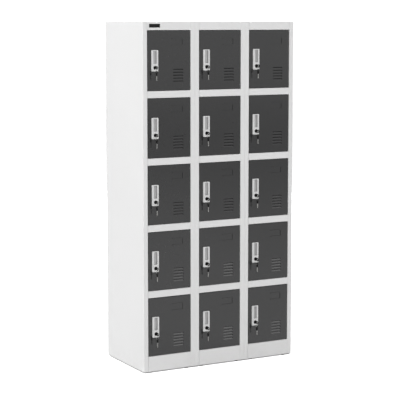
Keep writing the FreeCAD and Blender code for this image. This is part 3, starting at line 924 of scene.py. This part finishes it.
@dataclass
class CamLock:
    """Turning parts of a lock: plug, the key in it, and the cam on its inner end."""

    key: Key = field(default_factory=Key)
    eye: float = 0.029
    head_radius: float = 0.0095
    head_front: float = 0.010
    head_back: float = 0.00805
    core_radius: float = 0.0085
    keyway_half: float = 0.0038
    keyway_width: float = 0.0024
    blade_length: float = 0.012
    cam_front: float = 0.017
    cam_thickness: float = 0.002
    cam_width: float = 0.015
    cam_length: float = 0.050
    screw_radius: float = 0.004
    screw_rise: float = 0.0026

    def plug_loops(self) -> list[Loop]:
        """Loops of the plug, from its front face to the cam."""
        front = -self.head_front
        profile = [(0.0058, front + 0.0004), (0.0062, front), (self.head_radius - 0.0006, front),
                   (self.head_radius - 0.0001, front + 0.0005), (self.head_radius, front + 0.0009),
                   (self.head_radius, -self.head_back), (self.core_radius, -self.head_back),
                   (self.core_radius, self.cam_front)]
        return [at_depth(circle_outline(radius, 48), depth) for radius, depth in profile]

    def cam_loops(self) -> list[Loop]:
        """Loops of the cam, a round-ended arm that hangs down."""
        outline = rounded_outline(self.cam_width, self.cam_length + self.cam_width / 2,
                                  self.cam_width / 2 - 1e-5, 10)
        shrunk = rounded_outline(self.cam_width - 0.0006, self.cam_length + self.cam_width / 2 - 0.0006,
                                 self.cam_width / 2 - 0.00031, 10)
        middle = (0.0, (self.cam_width / 2 - self.cam_length) / 2)
        back = self.cam_front + self.cam_thickness
        return [at_depth(shrunk, self.cam_front, middle), at_depth(outline, self.cam_front + 0.0003, middle),
                at_depth(outline, back - 0.0003, middle), at_depth(shrunk, back, middle)]

    def screw_loops(self) -> list[Loop]:
        """Loops of the cam screw's domed head, with a hexagon socket."""
        back = self.cam_front + self.cam_thickness
        loops = [at_depth(circle_outline(self.screw_radius, 48), back - 0.0001)]
        for step in range(5):
            angle = math.pi / 2 * step / 4
            radius = self.screw_radius * (0.72 + 0.28 * math.cos(angle))
            loops.append(at_depth(circle_outline(radius, 48),
                                  back + self.screw_rise * (0.4 + 0.6 * math.sin(angle))))
        socket = []
        for k in range(48):
            angle = 2 * math.pi * k / 48
            side = (angle + math.pi / 6) % (math.pi / 3) - math.pi / 6
            socket.append((0.0017 / math.cos(side) * math.cos(angle),
                           0.0017 / math.cos(side) * math.sin(angle)))
        loops.append(at_depth(socket, back + self.screw_rise))
        loops.append(at_depth(socket, back + 0.0006))
        return loops

    def build(self, shop: Paintshop) -> bpy.types.Mesh:
        """Make the lock's turning parts in its frame.

        Args:
            shop: where the finishes come from.

        Returns:
            The mesh.
        """
        shell = Shell((shop.of(BLACK_CASTING), shop.of(BLACK_KEY), shop.of(NICKEL), shop.of(ZINC)))
        shell.loft(self.plug_loops(), 0)
        shell.loft(self.cam_loops(), 3)
        shell.loft(self.screw_loops(), 3)
        slit = rounded_outline(self.keyway_width, 2 * self.keyway_half, 0.0004, 3)
        guard = rounded_outline(self.keyway_width + 0.0016, 2 * self.keyway_half + 0.0016, 0.0009, 3)
        shell.loft([at_depth(guard, -self.head_front + 0.0005), at_depth(guard, -self.head_front - 0.0003),
                    at_depth(slit, -self.head_front - 0.0003), at_depth(slit, -self.head_front + 0.0005)],
                   0, ring=True)
        self.key.add_to(shell, Matrix.Translation((0.0, -self.eye, 0.0)), self.blade_length, 1, 2)
        return shell.finish("cam_lock")


@dataclass
class Nameplate:
    """Raised rim and two rivets on the blank plate of the first column."""

    rim: float = 0.0012
    rise: float = 0.0004
    inset: float = 0.0016

    def build(self, shop: Paintshop) -> bpy.types.Object:
        """Make the rim on the plate of the frame.

        Args:
            shop: where the finishes come from.

        Returns:
            The rim, riding on the cabinet.
        """
        low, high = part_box("nameplate")
        middle = ((low.x + high.x) / 2, (low.z + high.z) / 2)
        width = high.x - low.x - 2 * self.inset
        height = high.z - low.z - 2 * self.inset
        shell = Shell((shop.of(PLATE_BLACK),))
        rows = ((0.0, 0.0001), (0.0, -self.rise * 0.7), (self.rise * 0.3, -self.rise),
                (self.rim - self.rise * 0.3, -self.rise), (self.rim, -self.rise * 0.7), (self.rim, 0.0001))
        shell.loft([at_depth(rounded_outline(width - 2 * cut, height - 2 * cut, 0.0022 - cut), low.y + depth, middle)
                    for cut, depth in rows], ring=True)
        piece = place_piece(shell.finish("nameplate_rim"), "nameplate_rim", Vector(), "cabinet")
        return piece


@dataclass
class WeldMarks:
    """Spot-weld marks down the back panels, over the rear flanges of the walls."""

    from_edge: float = 0.008
    from_top: float = 0.05
    from_bottom: float = 0.06
    pitch: float = 0.12
    radius: float = 0.003
    rise: float = 0.0002

    def build(self, shop: Paintshop, marks: NodeRecipe) -> list[bpy.types.Object]:
        """Make the marks of each back panel.

        Args:
            shop: where the finishes come from.
            marks: recipe for a row of marks.

        Returns:
            One object for each panel.
        """
        pieces = []
        for node in sorted(name for name in frame["nodes"] if name.startswith("back_panel")):
            low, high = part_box(node)
            count = int((high.z - low.z - self.from_top - self.from_bottom) / self.pitch) + 1
            shell = Shell((shop.of(LIGHT_COAT),))
            for x in (low.x + self.from_edge, high.x - self.from_edge):
                row = marks.bake("marks", Count=count, Pitch=self.pitch, Radius=self.radius,
                                 Rise=self.rise * 2, Material=shop.of(LIGHT_COAT))
                row.transform(Matrix.Translation((x, high.y - self.rise * 1.9, high.z - self.from_top)))
                shell.absorb(row, 0)
            piece = place_piece(shell.finish("weld_marks"), node.replace("back_panel", "weld_marks"), Vector(),
                                "cabinet")
            pieces.append(piece)
        return pieces


@dataclass
class Fittings:
    """Everything made here that sits on the doors and the cabinet."""

    handle: Handle = field(default_factory=Handle)
    ring: KeyRing = field(default_factory=KeyRing)
    lock: CamLock = field(default_factory=CamLock)
    nameplate: Nameplate = field(default_factory=Nameplate)
    welds: WeldMarks = field(default_factory=WeldMarks)

    def build(self, shop: Paintshop) -> None:
        """Make each set once and put one on every door.

        Args:
            shop: where the finishes come from.
        """
        handle = self.handle.build(shop, row_recipe())
        spare = self.ring.build(shop, ring_recipe())
        lock = self.lock.build(shop)
        for site in lock_sites():
            self.fit(site, handle, "handle_set", site.door_body, f"handle_{site.tag}")
            self.fit(site, spare, "spare_key", site.door_body, f"handle_{site.tag}")
            self.fit(site, lock, "cam_lock", site.lock_body, f"lock_{site.tag}")
        self.nameplate.build(shop)
        for piece in self.welds.build(shop, dimple_recipe()):
            LOG.info("made %s", piece.name)

    def fit(self, site: LockSite, mesh: bpy.types.Mesh, name: str, body: str, node: str) -> None:
        """Put one piece at a lock.

        Args:
            site: the lock.
            mesh: the piece, in a lock's frame.
            name: start of the piece's name.
            body: the body that carries it.
            node: the frame's node that it stands for.
        """
        piece = place_piece(mesh, f"{name}_{site.tag}", site.axis, body)
        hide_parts(node)
        LOG.info("made %s on %s", piece.name, body)


@dataclass
class Steelwork:
    """Finishes of the frame's own nodes."""

    by_start: tuple[tuple[str, Finish], ...] = (
        ("door_", DARK_COAT), ("joining_bolts", ZINC), ("feet", FOOT_PLASTIC), ("nameplate", PLATE_BLACK),
        ("side_wall", LIGHT_COAT), ("back_panel", LIGHT_COAT), ("top_panels", LIGHT_COAT),
        ("base_trays", LIGHT_COAT), ("shelves", LIGHT_COAT), ("handle_", MOULDED_GREY), ("lock_", BLACK_CASTING))

    def dress(self, shop: Paintshop) -> None:
        """Coat each node of the frame by how its name starts.

        Args:
            shop: where the finishes come from.
        """
        for node in frame["nodes"]:
            finish = next(finish for start, finish in self.by_start if node.startswith(start))
            shop.coat_node(node, finish)
            LOG.info("coated %s with %s", node, finish.name)


# ---------------------------------------------------------------- studio


@dataclass
class Studio:
    """Pale floor, soft lights and the camera."""

    floor_size: float = 40.0
    floor_lift: float = 0.8
    floor_mirrored: float = 0.6
    camera_at: Point = (-3.513, -6.471, 1.823)
    camera_turn: float = math.radians(28.43)
    camera_dip: float = math.radians(6.61)
    lens: float = 123.3
    shift: float = -0.05
    world_light: float = 0.22
    world_seen: float = 1.15
    world_mirrored: float = 1.15

    def floor(self) -> None:
        """Lay a large pale floor."""
        material = bpy.data.materials.new("pale_floor")
        material.use_nodes = True
        tree = material.node_tree
        shader = tree.nodes["Principled BSDF"]
        shader.inputs["Roughness"].default_value = 0.9
        shader.inputs["Specular IOR Level"].default_value = 0.1
        shader.inputs["Emission Strength"].default_value = self.floor_lift
        where = tree.nodes.new("ShaderNodeTexCoord").outputs["Object"]
        noise = tree.nodes.new("ShaderNodeTexNoise")
        noise.inputs["Scale"].default_value = 6.0
        tree.links.new(where, noise.inputs["Vector"])
        path = tree.nodes.new("ShaderNodeLightPath").outputs
        mirrored = math_output(tree, path["Is Glossy Ray"], self.floor_mirrored)
        seen = math_output(tree, path["Is Camera Ray"], mirrored, "MAXIMUM")
        tree.links.new(math_output(tree, seen, self.outside_footprint(tree, where)),
                       shader.inputs["Emission Color"])
        tone = tree.nodes.new("ShaderNodeMapRange")
        tone.inputs["To Min"].default_value = 0.95
        tone.inputs["To Max"].default_value = 0.97
        tree.links.new(noise.outputs[0], tone.inputs["Value"])
        tree.links.new(tone.outputs[0], shader.inputs["Base Color"])
        half = self.floor_size / 2
        mesh = bpy.data.meshes.new("floor")
        mesh.from_pydata([(-half, -half, 0), (half, -half, 0), (half, half, 0), (-half, half, 0)], [],
                         [(0, 1, 2, 3)])
        mesh.materials.append(material)
        floor = bpy.data.objects.new("floor", mesh)
        bpy.context.scene.collection.objects.link(floor)

    def outside_footprint(self, tree: bpy.types.NodeTree, where: bpy.types.NodeSocket) -> bpy.types.NodeSocket:
        """Mask that is zero on the floor under the cabinet, where no light reaches, and one outside it."""
        low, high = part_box("base_trays")
        split = tree.nodes.new("ShaderNodeSeparateXYZ")
        tree.links.new(where, split.inputs[0])
        masks = []
        for axis in (0, 1):
            off = math_output(tree, split.outputs[axis], (low[axis] + high[axis]) / 2, "SUBTRACT")
            off = math_output(tree, off, 0.0, "ABSOLUTE")
            masks.append(math_output(tree, off, (high[axis] - low[axis]) / 2, "GREATER_THAN"))
        return math_output(tree, masks[0], masks[1], "MAXIMUM")

    def world(self) -> None:
        """Even white surroundings, brighter to the eye and in gloss than they light."""
        world = bpy.data.worlds.new("white_studio")
        bpy.context.scene.world = world
        world.use_nodes = True
        tree = world.node_tree
        background = tree.nodes["Background"]
        background.inputs["Color"].default_value = (1.0, 1.0, 1.0, 1.0)
        path = tree.nodes.new("ShaderNodeLightPath").outputs
        seen = math_output(tree, path["Is Camera Ray"], self.world_seen - self.world_light)
        mirrored = math_output(tree, path["Is Glossy Ray"], self.world_mirrored - self.world_light)
        extra = math_output(tree, seen, mirrored, "ADD")
        tree.links.new(math_output(tree, extra, self.world_light, "ADD"), background.inputs["Strength"])

    def light(self, name: str, at: Point, aim: Point, size: tuple[float, float], power: float,
              in_gloss: bool = True) -> None:
        """Add a rectangular soft light.

        Args:
            name: the light's name.
            at: where it stands.
            aim: the point it faces.
            size: its width and height.
            power: in watts.
            in_gloss: whether glossy surfaces mirror it.
        """
        data = bpy.data.lights.new(name, "AREA")
        data.shape = "RECTANGLE"
        data.size, data.size_y = size
        data.energy = power
        lamp = bpy.data.objects.new(name, data)
        lamp.location = at
        lamp.visible_glossy = in_gloss
        lamp.rotation_euler = (Vector(aim) - Vector(at)).to_track_quat("-Z", "Y").to_euler()
        bpy.context.scene.collection.objects.link(lamp)

    def camera(self) -> None:
        """Set up the camera."""
        data = bpy.data.cameras.new("camera")
        data.lens = self.lens
        data.shift_y = self.shift
        data.clip_end = 200.0
        camera = bpy.data.objects.new("camera", data)
        camera.location = self.camera_at
        camera.rotation_euler = (math.pi / 2 - self.camera_dip, 0.0, -self.camera_turn)
        bpy.context.scene.collection.objects.link(camera)
        bpy.context.scene.camera = camera

    def build(self) -> None:
        """Build the whole studio."""
        self.floor()
        self.world()
        self.light("key", (-2.6, -9.0, 3.4), (0.0, -0.2, 0.9), (2.4, 2.4), 430.0, in_gloss=False)
        self.light("side", (-5.0, 0.4, 3.0), (-0.45, 0.0, 1.3), (2.4, 2.4), 165.0)
        self.light("high right", (1.75, -3.1, 2.9), (0.0, -0.2, 0.2), (2.2, 1.0), 10.5)
        self.light("overhead", (-0.6, -1.4, 6.0), (-0.2, -0.6, 0.0), (4.0, 4.0), 50.0)
        self.light("behind", (3.5, 6.5, 2.6), (0.2, 0.2, 0.9), (3.0, 3.0), 260.0)
        self.camera()
        bpy.context.scene.view_settings.view_transform = "Standard"
        LOG.info("studio ready")


def main() -> None:
    """Build the studio, dress the steelwork and fit everything to it."""
    logging.basicConfig(level=logging.INFO, format="%(name)s: %(message)s")
    shop = Paintshop()
    Steelwork().dress(shop)
    Fittings().build(shop)
    Studio().build()


if __name__ == "__main__":
    main()
